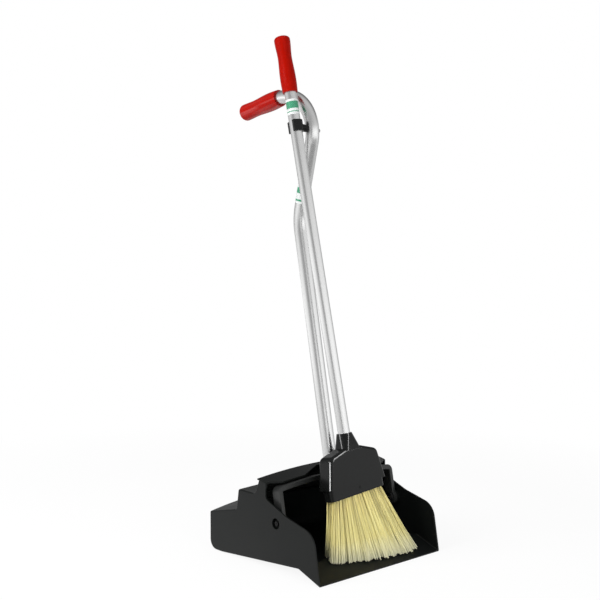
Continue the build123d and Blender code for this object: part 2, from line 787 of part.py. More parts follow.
def strand(column, row):
    """One three-sided strand from the backing to just above the floor of the pan."""
    across = strand_half * (2 * (column + 0.5 * (row % 2)) / (strand_columns - 0.5) - 1)
    back = strand_depth * (2 * row / (strand_rows - 1) - 1)
    share = across / strand_half
    tip_across = tip_spread * across * (1 - tip_taper * back / strand_depth) + tip_drift
    tip_back = tip_depth_spread * back * (1 + tip_twist * share) - tip_forward * (1 - share**2) - tip_skew * share
    flat_tip = broom_foot + broom_across * tip_across + broom_back * tip_back
    tip_height = floor_height(flat_tip.Y - lip_y) + tip_gap
    tip = flat_tip + broom_up * ((tip_height - flat_tip.Z) / broom_up.Z)
    root_height = block_under(across) - backing_thickness / 2
    root = broom_foot + broom_across * across + broom_back * (block_middle + back) + broom_up * root_height
    corner_turn = 120 * ((column + 2 * row) % 3) / 3
    outline = Wire.make_polygon(
        [
            root
            + broom_across * (strand_radius * math.cos(math.radians(corner_turn + corner)))
            + broom_back * (strand_radius * math.sin(math.radians(corner_turn + corner)))
            for corner in (0, 120, 240)
        ]
    )
    return Solid.extrude(Face(outline), tip - root)


with BuildPart() as bristles:
    with BuildSketch(front_plane(0).offset(-block_middle)):
        backing_half = strand_half + 2
        with BuildLine():
            Polyline(
                (-backing_half, block_under(-backing_half)),
                (backing_half, block_under(backing_half)),
                (backing_half, block_under(backing_half) - backing_thickness),
                (-backing_half, block_under(-backing_half) - backing_thickness),
                close=True,
            )
        make_face()
    extrude(amount=strand_depth + 1.5, both=True)
    add([strand(column, row) for column in range(strand_columns) for row in range(strand_rows)])
bristles.part.label = "bristles"
export_step(bristles.part, "parts/bristles.step")
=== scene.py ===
"""Finishes, fibres, labels and studio for the lobby dustpan and broom set. Metres, Z up, mouth towards -Y."""

import json
import logging
import math
import random
from dataclasses import dataclass
from enum import Enum
from typing import Any, Optional, Sequence, Union

import bpy
from mathutils import Matrix, Vector


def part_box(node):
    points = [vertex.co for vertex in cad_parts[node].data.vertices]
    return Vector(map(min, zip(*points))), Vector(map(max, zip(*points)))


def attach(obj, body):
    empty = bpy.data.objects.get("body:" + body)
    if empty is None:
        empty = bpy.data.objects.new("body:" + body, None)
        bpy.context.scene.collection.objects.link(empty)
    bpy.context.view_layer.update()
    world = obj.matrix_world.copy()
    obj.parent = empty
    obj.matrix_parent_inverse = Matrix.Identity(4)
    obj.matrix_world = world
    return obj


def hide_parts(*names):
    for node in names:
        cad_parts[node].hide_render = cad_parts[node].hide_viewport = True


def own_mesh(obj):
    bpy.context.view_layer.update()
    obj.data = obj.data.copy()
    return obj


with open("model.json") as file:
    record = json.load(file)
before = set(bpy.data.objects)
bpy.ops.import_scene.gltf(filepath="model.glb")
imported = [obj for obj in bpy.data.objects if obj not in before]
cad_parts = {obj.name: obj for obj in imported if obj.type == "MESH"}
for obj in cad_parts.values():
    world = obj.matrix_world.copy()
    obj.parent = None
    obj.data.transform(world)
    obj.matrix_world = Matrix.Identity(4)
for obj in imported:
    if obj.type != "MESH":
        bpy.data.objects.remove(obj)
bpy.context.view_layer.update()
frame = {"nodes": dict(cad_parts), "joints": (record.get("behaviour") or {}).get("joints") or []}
LOG = logging.getLogger("lobby_pan")

Triple = tuple[float, float, float]
Colour = Triple
Span = tuple[float, float]
Key = Union[int, str]
Feed = Union["Signal", float, Sequence[float]]

NOISE_MIDDLE = 0.5
WHITE: Colour = (1.0, 1.0, 1.0)
UP = Vector((0, 0, 1))

# Bearings in degrees from the camera, to the right
LEFT = -90.0
BEHIND = 180.0


class Signal:
    """A shader socket that takes part in Python expressions."""

    def __init__(self, tree: bpy.types.NodeTree, socket: bpy.types.NodeSocket) -> None:
        """Wraps one output socket.

        Args:
            tree: Node tree that the socket belongs to.
            socket: Output socket to wrap.
        """
        self.tree = tree
        self.socket = socket

    def _math(self, operation: str, first: Feed, second: Feed) -> "Signal":
        """Adds a Math node.

        Args:
            operation: Name of the operation.
            first: First operand.
            second: Second operand.

        Returns:
            The node's result.
        """
        node = self.tree.nodes.new("ShaderNodeMath")
        node.operation = operation
        for socket, value in zip(node.inputs, (first, second)):
            if isinstance(value, Signal):
                self.tree.links.new(value.socket, socket)
            else:
                socket.default_value = value
        return Signal(self.tree, node.outputs[0])

    def __add__(self, other: Feed) -> "Signal":
        """Sum."""
        return self._math("ADD", self, other)

    __radd__ = __add__

    def __sub__(self, other: Feed) -> "Signal":
        """Difference."""
        return self._math("SUBTRACT", self, other)

    def __rsub__(self, other: Feed) -> "Signal":
        """Reflected difference."""
        return self._math("SUBTRACT", other, self)

    def __mul__(self, other: Feed) -> "Signal":
        """Product."""
        return self._math("MULTIPLY", self, other)

    __rmul__ = __mul__

    def __pow__(self, other: Feed) -> "Signal":
        """Power."""
        return self._math("POWER", self, other)

    def __gt__(self, other: Feed) -> "Signal":
        """One where this is the greater, and nought elsewhere."""
        return self._math("GREATER_THAN", self, other)

    def at_most(self, other: Feed) -> "Signal":
        """The smaller of the two."""
        return self._math("MINIMUM", self, other)

    def at_least(self, other: Feed) -> "Signal":
        """The larger of the two."""
        return self._math("MAXIMUM", self, other)

    def clamped(self) -> "Signal":
        """This value, held between nought and one."""
        return self.at_least(0.0).at_most(1.0)

    def ramp(self, start: float, slope: float) -> "Signal":
        """Nought up to a start, then rising by a slope to one."""
        return ((self - start) * slope).clamped()

    def sibling(self, output: Key) -> "Signal":
        """Another output of the same node."""
        return Signal(self.tree, self.socket.node.outputs[output])


class Recipe:
    """A node tree under construction."""

    def __init__(self, tree: bpy.types.NodeTree) -> None:
        """Starts an empty tree.

        Args:
            tree: Tree to clear and fill.
        """
        self.tree = tree
        tree.nodes.clear()

    @classmethod
    def material(cls, name: str) -> tuple["Recipe", bpy.types.Material]:
        """Starts a new material.

        Args:
            name: Name of the material.

        Returns:
            The recipe and the material that it fills.
        """
        made = bpy.data.materials.new(name)
        made.use_nodes = True
        return cls(made.node_tree), made

    def node(
        self,
        kind: str,
        output: Key = 0,
        settings: Optional[dict[str, Any]] = None,
        inputs: Optional[dict[Key, Feed]] = None,
    ) -> Signal:
        """Adds any node.

        Args:
            kind: Type of the node.
            output: Index or name of the output that is handed back.
            settings: Properties, set first. The stops of a ramp are (place, colour) pairs.
            inputs: Values or links of its sockets, by name or index.

        Returns:
            The chosen output.
        """
        node = self.tree.nodes.new(kind)
        for key, value in (settings or {}).items():
            if key == "stops":
                ramp = node.color_ramp.elements
                while len(ramp) < len(value):
                    ramp.new(0.5)
                for element, (place, colour) in zip(ramp, value):
                    element.position = place
                    element.color = (*colour, 1.0)
            else:
                setattr(node, key, value)
        for key, value in (inputs or {}).items():
            socket = node.inputs[key]
            if isinstance(value, Signal):
                self.tree.links.new(value.socket, socket)
            elif socket.type == "RGBA" and len(value) == 3:
                socket.default_value = (*value, 1.0)
            else:
                socket.default_value = value
        return Signal(self.tree, node.outputs[output] if node.outputs else None)

    def place(self) -> Signal:
        """Coordinates on the piece."""
        return self.node("ShaderNodeTexCoord", "Object")

    def vector(self, operation: str, output: Key, inputs: dict[Key, Feed]) -> Signal:
        """Adds a Vector Math node.

        Args:
            operation: Name of the operation.
            output: Index or name of the output that is handed back.
            inputs: Values or links of its sockets.

        Returns:
            The chosen output.
        """
        return self.node("ShaderNodeVectorMath", output, {"operation": operation}, inputs)

    def along(self, place: Signal, axis: Sequence[float]) -> Signal:
        """How far a place lies along an axis."""
        return self.vector("DOT_PRODUCT", "Value", {0: place, 1: tuple(axis)})

    def drawn_out(self, place: Signal, axis: Triple, share: float) -> Signal:
        """Coordinates that change little along an axis, so that noise draws out into lines.

        Args:
            place: Coordinates.
            axis: Direction of the lines.
            share: Share of the change along the axis that is taken out.

        Returns:
            The new coordinates.
        """
        shift = self.vector("SCALE", 0, {0: axis, "Scale": self.along(place, axis) * share})
        return self.vector("SUBTRACT", 0, {0: place, 1: shift})

    def mix(self, factor: Feed, first: Feed, second: Feed) -> Signal:
        """Mixes two colours.

        Args:
            factor: Share of the second colour.
            first: First colour.
            second: Second colour.

        Returns:
            The mixed colour.
        """
        return self.node("ShaderNodeMix", 2, {"data_type": "RGBA"}, {0: factor, 6: first, 7: second})

    def noise(self, place: Signal, size: float, detail: float = 2.0, roughness: float = 0.5) -> Signal:
        """Cloudy noise.

        Args:
            place: Coordinates.
            size: Size of one cloud in metres.
            detail: Number of finer layers.
            roughness: Strength of the finer layers.

        Returns:
            The noise, from about 0.3 to 0.7.
        """
        inputs = {"Vector": place, "Scale": 1.0 / size, "Detail": detail, "Roughness": roughness}
        return self.node("ShaderNodeTexNoise", 0, None, inputs)

    def bump(self, height: Signal, depth: float) -> Signal:
        """Turns a height into a normal.

        Args:
            height: Height between nought and one.
            depth: Depth in metres of one unit of height.

        Returns:
            The bent normal.
        """
        return self.node("ShaderNodeBump", 0, None, {"Height": height, "Distance": depth, "Strength": 1.0})

    def glossy(self) -> Signal:
        """One for rays that a shiny surface sends out."""
        return self.node("ShaderNodeLightPath", "Is Glossy Ray")

    def seen(self) -> Signal:
        """One for rays that show the background, seen directly, in a reflection or through glass."""
        path = self.node("ShaderNodeLightPath", "Is Camera Ray")
        return (path + path.sibling("Is Glossy Ray") + path.sibling("Is Transmission Ray")).at_most(1.0)

    def surface(self, inputs: dict[Key, Feed]) -> None:
        """Ends the recipe in a Principled surface.

        Args:
            inputs: Values or links of the shader's sockets.
        """
        shader = self.node("ShaderNodeBsdfPrincipled", 0, None, inputs)
        self.node("ShaderNodeOutputMaterial", 0, None, {"Surface": shader})


def toned(colour: Colour, factor: float, lift: float = 0.0) -> Colour:
    """A colour made darker or lighter.

    Args:
        colour: Colour to start from.
        factor: What each channel is multiplied by.
        lift: What is then added to it.

    Returns:
        The new colour, no channel above one.
    """
    return tuple(min(1.0, channel * factor + lift) for channel in colour)


@dataclass(frozen=True)
class MouldedPlastic:
    """Injection-moulded plastic with a fine grain, flow clouds and faint scuffs."""

    name: str
    colour: Colour
    roughness: float
    gloss: float
    grain: float = 0.0011
    grain_depth: float = 0.00004
    scuffs: float = 0.25
    scratch: float = 0.006
    scratch_stretch: Triple = (1.0, 0.35, 2.2)
    scratch_start: float = 0.6
    scratch_contrast: float = 6.0
    scuff_tone: float = 1.7
    scuff_lift: float = 0.004
    scuff_roughness: float = 0.15
    cloud: float = 0.055
    cloud_tones: Span = (0.86, 1.12)
    cloud_roughness: float = 0.16

    def build(self) -> bpy.types.Material:
        """Makes the material.

        Returns:
            The material.
        """
        recipe, made = Recipe.material(self.name)
        place = recipe.place()
        cloud = recipe.noise(place, self.cloud, detail=3.0)
        grain = recipe.noise(place, self.grain)
        stretch = {"Vector": place, "Scale": self.scratch_stretch}
        stretched = recipe.node("ShaderNodeMapping", 0, None, stretch)
        scratch = recipe.noise(stretched, self.scratch, detail=4.0, roughness=0.7)
        scuff = scratch.ramp(self.scratch_start, self.scratch_contrast) * self.scuffs
        deep, pale = (toned(self.colour, tone) for tone in self.cloud_tones)
        worn = toned(self.colour, self.scuff_tone, self.scuff_lift)
        unevenness = (cloud - NOISE_MIDDLE) * self.cloud_roughness + scuff * self.scuff_roughness
        recipe.surface(
            {
                "Base Color": recipe.mix(scuff, recipe.mix(cloud, deep, pale), worn),
                "Roughness": unevenness + self.roughness,
                "Normal": recipe.bump(grain, self.grain_depth),
                "IOR": 1.49,
                "Specular IOR Level": self.gloss,
            }
        )
        return made


@dataclass(frozen=True)
class DrawnTube:
    """Satin aluminium tube with fine draw lines along its length."""

    name: str
    colour: Colour
    roughness: float
    axis: Triple = (-0.020, 0.187, 0.982)
    line: float = 0.0012
    line_share: float = 0.98
    line_depth: float = 0.000006
    line_weight: float = 0.7
    cloud: float = 0.035
    dull_tone: float = 0.92
    unevenness: float = 0.06

    def build(self) -> bpy.types.Material:
        """Makes the material.

        Returns:
            The material.
        """
        recipe, made = Recipe.material(self.name)
        place = recipe.place()
        lines = recipe.noise(recipe.drawn_out(place, self.axis, self.line_share), self.line)
        cloud = recipe.noise(place, self.cloud, detail=3.0)
        tone = lines * self.line_weight + cloud * (1.0 - self.line_weight)
        uneven = (lines - NOISE_MIDDLE) * self.unevenness + (cloud - NOISE_MIDDLE) * self.unevenness
        recipe.surface(
            {
                "Base Color": recipe.mix(tone, toned(self.colour, self.dull_tone), self.colour),
                "Metallic": 1.0,
                "Roughness": uneven + self.roughness,
                "Normal": recipe.bump(lines, self.line_depth),
            }
        )
        return made


@dataclass(frozen=True)
class GripVinyl:
    """Dipped vinyl with soft mottling and glossier streaks along the grip. The streaks also make the colour
    lighter and darker along the grip, partly a painted highlight.
    """

    name: str
    colour: Colour
    axis: Triple
    streaks: float
    roughness: float = 0.34
    gloss: float = 0.09
    streak: float = 0.0055
    streak_share: float = 0.95
    streak_highlight_weight: float = 0.5
    streak_contrast: float = 6.0
    streak_roughness: float = 0.25
    cloud: float = 0.02
    cloud_roughness: float = 0.2
    grain: float = 0.0016
    grain_depth: float = 0.00005
    grain_roughness: float = 0.1
    tones: Span = (0.74, 1.2)

    def build(self) -> bpy.types.Material:
        """Makes the material.

        Returns:
            The material.
        """
        recipe, made = Recipe.material(self.name)
        place = recipe.place()
        streak = recipe.noise(recipe.drawn_out(place, self.axis, self.streak_share), self.streak)
        cloud = recipe.noise(place, self.cloud, detail=3.0)
        grain = recipe.noise(place, self.grain)
        deep, pale = (toned(self.colour, tone) for tone in self.tones)
        uneven = (cloud - NOISE_MIDDLE) * self.cloud_roughness
        uneven = uneven + (grain - NOISE_MIDDLE) * self.grain_roughness
        shine = streak.ramp(NOISE_MIDDLE, self.streak_contrast)
        # Partly painted highlight: the streaks lighten the colour in lines along the grip. The coat on them
        # is real gloss.
        tone = cloud * (1.0 - self.streak_highlight_weight) + streak * self.streak_highlight_weight
        recipe.surface(
            {
                "Base Color": recipe.mix(tone, deep, pale),
                "Roughness": uneven + self.roughness,
                "Normal": recipe.bump(grain, self.grain_depth),
                "Coat Weight": shine * self.streaks,
                "Coat Roughness": self.streak_roughness,
                "IOR": 1.5,
                "Specular IOR Level": self.gloss,
            }
        )
        return made


@dataclass(frozen=True)
class PlatedSteel:
    """Zinc-plated steel of the small fixings."""

    name: str
    colour: Colour
    roughness: float
    cloud: float = 0.002
    cloud_roughness: float = 0.2
    dull_tone: float = 0.75

    def build(self) -> bpy.types.Material:
        """Makes the material.

        Returns:
            The material.
        """
        recipe, made = Recipe.material(self.name)
        cloud = recipe.noise(recipe.place(), self.cloud, detail=3.0)
        recipe.surface(
            {
                "Base Color": recipe.mix(cloud, toned(self.colour, self.dull_tone), self.colour),
                "Metallic": 1.0,
                "Roughness": (cloud - NOISE_MIDDLE) * self.cloud_roughness + self.roughness,
            }
        )
        return made


@dataclass(frozen=True)
class SyntheticFibre:
    """Cream fibre, each strand a little different and paler at its split tip. Darker strands, darkest at the
    root and fading to the tip, are partly a random tone and partly painted shade in the gaps between strands.
    """

    name: str
    root: Colour
    middle: Colour
    tip: Colour
    middle_span: Span = (0.4, 0.66)
    dark_tone: float = 0.42
    dark_fade: float = 0.92
    roughness: float = 0.45
    unevenness: float = 0.2

    def build(self) -> bpy.types.Material:
        """Makes the material.

        Returns:
            The material. U is a number of each strand's own and V runs from root to tip.
        """
        recipe, made = Recipe.material(self.name)
        strand = recipe.node("ShaderNodeUVMap", 0, {"uv_map": "strand"})
        own = recipe.node("ShaderNodeSeparateXYZ", "X", None, {"Vector": strand})
        along = own.sibling("Y")
        stops = [(0.0, self.root), *((place, self.middle) for place in self.middle_span), (1.0, self.tip)]
        shade = recipe.node("ShaderNodeValToRGB", 0, {"stops": stops}, {"Fac": along})
        # Painted shade, partly a random tone: strands with a high own number mix towards dark brown, most
        # near the root and little at the tip.
        tone_and_gap_shade = own * (1.0 - along * self.dark_fade)
        recipe.surface(
            {
                "Base Color": recipe.mix(tone_and_gap_shade, shade, toned(self.root, self.dark_tone)),
                "Roughness": own * self.unevenness + self.roughness,
                "IOR": 1.45,
            }
        )
        return made


@dataclass(frozen=True)
class WrapLabelFinish:
    """Glossy white wrap label with plain stripes across the tube."""

    name: str
    origin: Triple
    axis: Triple
    stripes: tuple[Span, ...]
    paper: Colour = (0.6, 0.62, 0.615)
    ink: Colour = (0.015, 0.215, 0.105)
    fleck: float = 0.0007
    fleck_weight: float = 0.1
    roughness: float = 0.28
    unevenness: float = 0.1

    def build(self) -> bpy.types.Material:
        """Makes the material.

        Returns:
            The material. A stripe is (start, end) in metres along the tube from the origin.
        """
        recipe, made = Recipe.material(self.name)
        place = recipe.place()
        height = recipe.along(recipe.vector("SUBTRACT", 0, {0: place, 1: self.origin}), self.axis)
        fleck = recipe.noise(place, self.fleck)
        ink: Feed = 0.0
        for start, end in self.stripes:
            ink = (height > start) * (1.0 - (height > end)) + ink
        cover = ink * ((1.0 - self.fleck_weight) + fleck * self.fleck_weight)
        recipe.surface(
            {
                "Base Color": recipe.mix(cover, self.paper, self.ink),
                "Roughness": fleck * self.unevenness + self.roughness,
            }
        )
        return made


class Finish(Enum):
    """The finishes of the set."""

    PAN = MouldedPlastic("pan_plastic", (0.0048, 0.0056, 0.0053), 0.4, 0.205)
    YOKE = MouldedPlastic("yoke_plastic", (0.015, 0.0157, 0.0152), 0.36, 0.46)
    CLIP = MouldedPlastic("clip_plastic", (0.005, 0.0055, 0.0052), 0.36, 0.22)
    PIN = MouldedPlastic("pin_plastic", (0.006, 0.006, 0.006), 0.45, 0.15)
    HEAD = MouldedPlastic(
        "head_plastic",
        (0.0045, 0.0049, 0.0047),
        0.14,
        0.215,
        grain=0.0016,
        grain_depth=0.000012,
        scuffs=0.1,
    )
    TUBE = DrawnTube("tube_aluminium", (0.84, 0.842, 0.84), 0.27)
    HANDLE_GRIP = GripVinyl("handle_grip_vinyl", (0.33, 0.0042, 0.001), (0.0, 0.988, -0.155), 0.9)
    BROOM_GRIP = GripVinyl(
        "broom_grip_vinyl", (0.3, 0.0034, 0.0004), (-0.040, 0.185, 0.982), 0.2, gloss=0.06
    )
    FIXING = PlatedSteel("fixing_steel", (0.62, 0.62, 0.63), 0.3)
    FIBRE = SyntheticFibre("bristle_fibre", (0.93, 0.8, 0.33), (0.9, 0.815, 0.355), (0.99, 0.97, 0.69))


PAINTS: dict[Finish, bpy.types.Material] = {}


def coat(piece: bpy.types.Object, material: bpy.types.Material) -> None:
    """Gives a piece one material all over.

    Args:
        piece: Mesh to coat.
        material: Material that it takes.
    """
    piece.data.materials.clear()
    piece.data.materials.append(material)
    LOG.info("%s: %s", piece.name, material.name)


def paint(piece: bpy.types.Object, finish: Finish) -> None:
    """Gives a piece one of the set's finishes.

    Args:
        piece: Mesh to paint.
        finish: Finish that it takes.
    """
    if finish not in PAINTS:
        PAINTS[finish] = finish.value.build()
    coat(piece, PAINTS[finish])


def paint_nodes(finishes: dict[str, Finish]) -> None:
    """Paints pieces of the frame.

    Args:
        finishes: Finish of each piece, by the piece's name.
    """
    for node, finish in finishes.items():
        paint(frame["nodes"][node], finish)


def deselect() -> None:
    """Leaves nothing selected, in object mode."""
    if bpy.context.object and bpy.context.object.mode != "OBJECT":
        bpy.ops.object.mode_set(mode="OBJECT")
    bpy.ops.object.select_all(action="DESELECT")


def direction(bearing: float, lift: float = 0.0) -> Vector:
    """A direction from its angles.

    Args:
        bearing: Angle in degrees from -Y towards +X.
        lift: Angle in degrees above the floor.

    Returns:
        The direction, of unit length.
    """
    turn, rise = math.radians(bearing), math.radians(lift)
    return Vector((math.sin(turn) * math.cos(rise), -math.cos(turn) * math.cos(rise), math.sin(rise)))


@dataclass
class WrapLabel:
    """A plain label wrapped round a tube."""

    name: str
    body: str
    start: Vector
    axis: Vector
    radius: float
    length: float
    stripes: tuple[Span, ...]
    film: float = 0.00015
    gap: float = 0.00005
    sides: int = 48
    smooth_angle: float = 40.0

    def build(self) -> bpy.types.Object:
        """Models the label as a thin sleeve on the tube.

        Returns:
            The label.
        """
        deselect()
        bpy.ops.mesh.primitive_cylinder_add(
            vertices=self.sides, radius=self.radius + self.gap, depth=self.length, end_fill_type="NOTHING"
        )
        label = bpy.context.object
        label.name = self.name
        thick = label.modifiers.new("film", "SOLIDIFY")
        thick.thickness = self.film
        thick.offset = 1.0
        bpy.ops.object.modifier_apply(modifier=thick.name)
        turn = UP.rotation_difference(self.axis).to_matrix().to_4x4()
        middle = self.start + self.axis * (self.length / 2)
        label.data.transform(Matrix.Translation(middle) @ turn)
        bpy.ops.object.shade_smooth_by_angle(angle=math.radians(self.smooth_angle))
        return label

    def dress(self) -> None:
        """Builds the label, paints it and fixes it to its tube."""
        label = self.build()
        finish = WrapLabelFinish(f"{self.name}_film", tuple(self.start), tuple(self.axis), self.stripes)
        coat(label, finish.build())
        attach(label, self.body)


@dataclass
class PanAssembly:
    """The moulded pan."""

    shell: str = "pan_shell"

    def dress(self) -> None:
        """Paints the pan."""
        paint_nodes({self.shell: Finish.PAN})


@dataclass
class HandleAssembly:
    """The yoke, the swan-neck tube, its grip, the clip and the label on the tube's riser."""

    body: str = "handle"
    riser_start: Triple = (0.0, -0.0617, 0.6470)
    riser_lean: float = 14.0
    tube_radius: float = 0.0127
    label_length: float = 0.036
    label_stripes: tuple[Span, ...] = ((0.004, 0.0075), (0.019, 0.030))

    def dress(self) -> None:
        """Paints the handle's pieces."""
        finishes = {
            "yoke": Finish.YOKE,
            "broom_clip": Finish.CLIP,
            "handle_tube": Finish.TUBE,
            "handle_grip": Finish.HANDLE_GRIP,
            "clip_screw": Finish.FIXING,
            "socket_bolt": Finish.FIXING,
            "socket_nut": Finish.FIXING,
        }
        for side in ("left", "right"):
            finishes[f"pivot_pin_{side}"] = Finish.PIN
            finishes[f"pivot_retainer_{side}"] = Finish.FIXING
        paint_nodes(finishes)

    def label(self) -> WrapLabel:
        """The label on the riser, which leans towards the mouth.

        Returns:
            The label, not yet built.
        """
        turn = math.radians(self.riser_lean)
        riser = Vector((0.0, -math.sin(turn), math.cos(turn)))
        return WrapLabel(
            "handle_label",
            self.body,
            Vector(self.riser_start),
            riser,
            self.tube_radius,
            self.label_length,
            self.label_stripes,
        )


@dataclass(frozen=True)
class Lock:
    """A few strands of a tuft that lie together, with their place in the tuft and their shade: a darkness
    that is partly a random tone and partly painted shade between strands.
    """

    aside: float
    behind: float
    shade: float
    short: float


@dataclass
class BroomAssembly:
    """The broom: tube, grip, head, block, fibres and the label on the tube.

    Places are measured from the foot of the tube's line: across the head, back towards the handle
    and up the tube.
    """

    up: Vector
    foot: Triple = (-0.0012, -0.2255, 0.020)
    body: str = "broom"
    tube_radius: float = 0.0111
    label_height: float = 0.8015
    label_length: float = 0.0285
    label_stripes: tuple[Span, ...] = ((0.0045, 0.0062), (0.011, 0.0245))

    # Block, whose underside slants up from its left end
    root_height: float = 0.100
    root_sink: float = 0.001
    block_half_width: float = 0.0665
    block_slant: float = 2.4
    block_middle: float = -0.00325

    # The pan's floor under the fan, measured back from the lip
    lip_y: float = -0.2735
    lip_top: float = 0.0016
    ridge_back: float = 0.0525
    ridge_rise: float = 0.0198
    heel_back: float = 0.265
    heel_top: float = 0.0035
    heel_rise: float = 0.0179
    floor_gap: float = 0.0008

    # Tufts, in rows that are out of step, and the locks and strands of each
    half_width: float = 0.0605
    half_depth: float = 0.01025
    columns: int = 19
    rows: int = 5
    row_step: float = 0.25
    row_play: float = 0.12
    end_room: float = 0.36
    tuft_shift: float = 0.0008
    tuft_radius: float = 0.0019
    tuft_growth: float = 2.4
    locks: int = 7
    lock_radius: float = 0.0003
    lock_flatness: float = 0.5
    strands: int = 4
    strand_radius: float = 0.0008
    strand_swell: float = 1.16
    strand_sides: int = 3
    rings: int = 4

    # Shape of the fan at the tips
    spread: float = 1.495
    drift: float = 0.0118
    taper: float = 0.053
    depth_spread: float = 1.57
    forward: float = 0.0075
    skew: float = 0.003
    twist: float = 0.2
    sweep: float = 0.0085
    sweep_end: int = 12
    flare: float = 0.11
    flare_power: int = 4

    # How much the strands differ
    seed: int = 7
    lean_play: float = 0.001
    short_play: float = 0.0011
    trim_play: float = 0.0005
    tip_across_play: float = 0.0016
    tip_back_play: float = 0.0012
    bow_play: float = 0.0006
    # Shade of the locks, skewed towards bright; the dark locks are partly painted shade between strands
    shade_power: float = 2.2
    shade_play: float = 0.1

    # Direction in which the fan would be pressed together as the handle swings
    press: Triple = (0.0, 0.643, 0.766)

    def __post_init__(self) -> None:
        """Works out the broom's own directions."""
        self.base = Vector(self.foot)
        self.across = (Vector((1, 0, 0)) - self.up * self.up.x).normalized()
        self.back = self.up.cross(self.across)

    def place(self, across: float, back: float, height: float) -> Vector:
        """A point from the broom's own measures.

        Args:
            across: Distance across the head.
            back: Distance towards the handle.
            height: Distance up the tube.

        Returns:
            The point.
        """
        return self.base + self.across * across + self.back * back + self.up * height

    def floor(self, y: float) -> float:
        """Height of the pan's floor under a point.

        Args:
            y: Place from front to back.

        Returns:
            Height of the floor's upper face.
        """
        behind = y - self.lip_y
        if behind < self.ridge_back:
            return self.lip_top + self.ridge_rise * behind / self.ridge_back
        run = self.heel_back - self.ridge_back
        return self.heel_top + self.heel_rise * max(0.0, self.heel_back - behind) / run

    def tip(self, across: float, back: float, short: float) -> Vector:
        """Where a strand ends.

        Args:
            across: Place of the tip across the head.
            back: Place of the tip towards the handle.
            short: How far it stops above the pan's floor.

        Returns:
            The point.
        """
        flat = self.place(across, back, 0.0)
        height = self.floor(flat.y) + self.floor_gap + short
        return flat + self.up * ((height - flat.z) / self.up.z)

    def underside(self, across: float) -> float:
        """Height of the block's slanting underside.

        Args:
            across: Place across the head.

        Returns:
            The height along the tube.
        """
        slope = math.tan(math.radians(self.block_slant))
        return self.root_height + (across + self.block_half_width) * slope

    def strand(self) -> bpy.types.Object:
        """Models one strand: a thin three-sided rod of unit length that swells a little to its split tip.

        Returns:
            The strand, standing on the origin.
        """
        deselect()
        bpy.ops.mesh.primitive_circle_add(vertices=self.strand_sides, radius=self.strand_radius)
        rod = bpy.context.object
        bpy.ops.object.mode_set(mode="EDIT")
        bpy.ops.mesh.select_all(action="SELECT")
        for _ in range(self.rings - 1):
            bpy.ops.mesh.extrude_region_move(TRANSFORM_OT_translate={"value": (0, 0, 1 / (self.rings - 1))})
            bpy.ops.transform.resize(value=(self.strand_swell, self.strand_swell, 1))
        bpy.ops.mesh.edge_face_add()
        bpy.ops.mesh.select_all(action="SELECT")
        bpy.ops.mesh.normals_make_consistent(inside=False)
        bpy.ops.object.mode_set(mode="OBJECT")
        return rod

    def run(self, root: Vector, tip: Vector, bow: Vector, along: float) -> Vector:
        """A point on a strand's line, which flares out near the floor.

        Args:
            root: Where the strand leaves the block.
            tip: Where it ends.
            bow: How far its middle stands off the straight line.
            along: Share of its length.

        Returns:
            The point.
        """
        straight = root.lerp(tip, along)
        late = self.flare * (along**self.flare_power - along) * (tip - root).dot(self.across)
        return straight + self.across * late + bow * math.sin(math.pi * along)

    def tuft(self, column: int, row: int, dice: random.Random) -> Span:
        """Where a tuft leaves the block.

        Args:
            column: Number of its column.
            row: Number of its row.
            dice: Source of the random play.

        Returns:
            Its place across the head and towards the handle.
        """
        shift = self.row_step * min(row, self.rows - 1 - row) + dice.uniform(0.0, self.row_play)
        across = 2 * (column + shift) / (self.columns - self.end_room) - 1
        back = 2 * row / (self.rows - 1) - 1
        return (self.half_width - self.tuft_radius) * across - self.tuft_shift, self.half_depth * back

    def lock(self, dice: random.Random) -> Lock:
        """Draws one lock of a tuft.

        Args:
            dice: Source of the random play.

        Returns:
            The lock.
        """
        turn, reach = dice.uniform(0, math.tau), self.tuft_radius * math.sqrt(dice.random())
        shade, short = dice.random() ** self.shade_power, abs(dice.gauss(0, self.short_play))
        return Lock(reach * math.cos(turn), self.lock_flatness * reach * math.sin(turn), shade, short)

    def ends(self, tuft: Span, lean: Span, lock: Lock, dice: random.Random) -> tuple[Vector, Vector]:
        """Where one strand leaves the block and where it ends.

        Args:
            tuft: Place of its tuft.
            lean: How far the whole tuft leans at its tips, across and back.
            lock: Lock that it lies in.
            dice: Source of the random play.

        Returns:
            The root and the tip.
        """
        tuft_across, tuft_back = tuft
        share, deep = tuft_across / self.half_width, tuft_back / self.half_depth
        aside = lock.aside + dice.gauss(0, self.lock_radius)
        behind = lock.behind + dice.gauss(0, self.lock_radius)
        tip_across = self.spread * (tuft_across + self.tuft_growth * aside) * (1 - self.taper * deep)
        tip_across += self.drift
        tip_across += lean[0] + dice.gauss(0, self.tip_across_play)
        tip_back = self.depth_spread * (tuft_back + self.tuft_growth * behind) * (1 + self.twist * share)
        tip_back -= self.forward * (1 - share**2) + self.skew * share
        tip_back -= self.sweep * max(0.0, share) * (1 - share**self.sweep_end) * (1 - deep) / 2
        tip_back += lean[1] + dice.gauss(0, self.tip_back_play)
        tip = self.tip(tip_across, tip_back, lock.short + abs(dice.gauss(0, self.trim_play)))
        across, back = tuft_across + aside, tuft_back + behind
        root = self.place(across, back + self.block_middle, self.underside(across) + self.root_sink)
        return root, tip

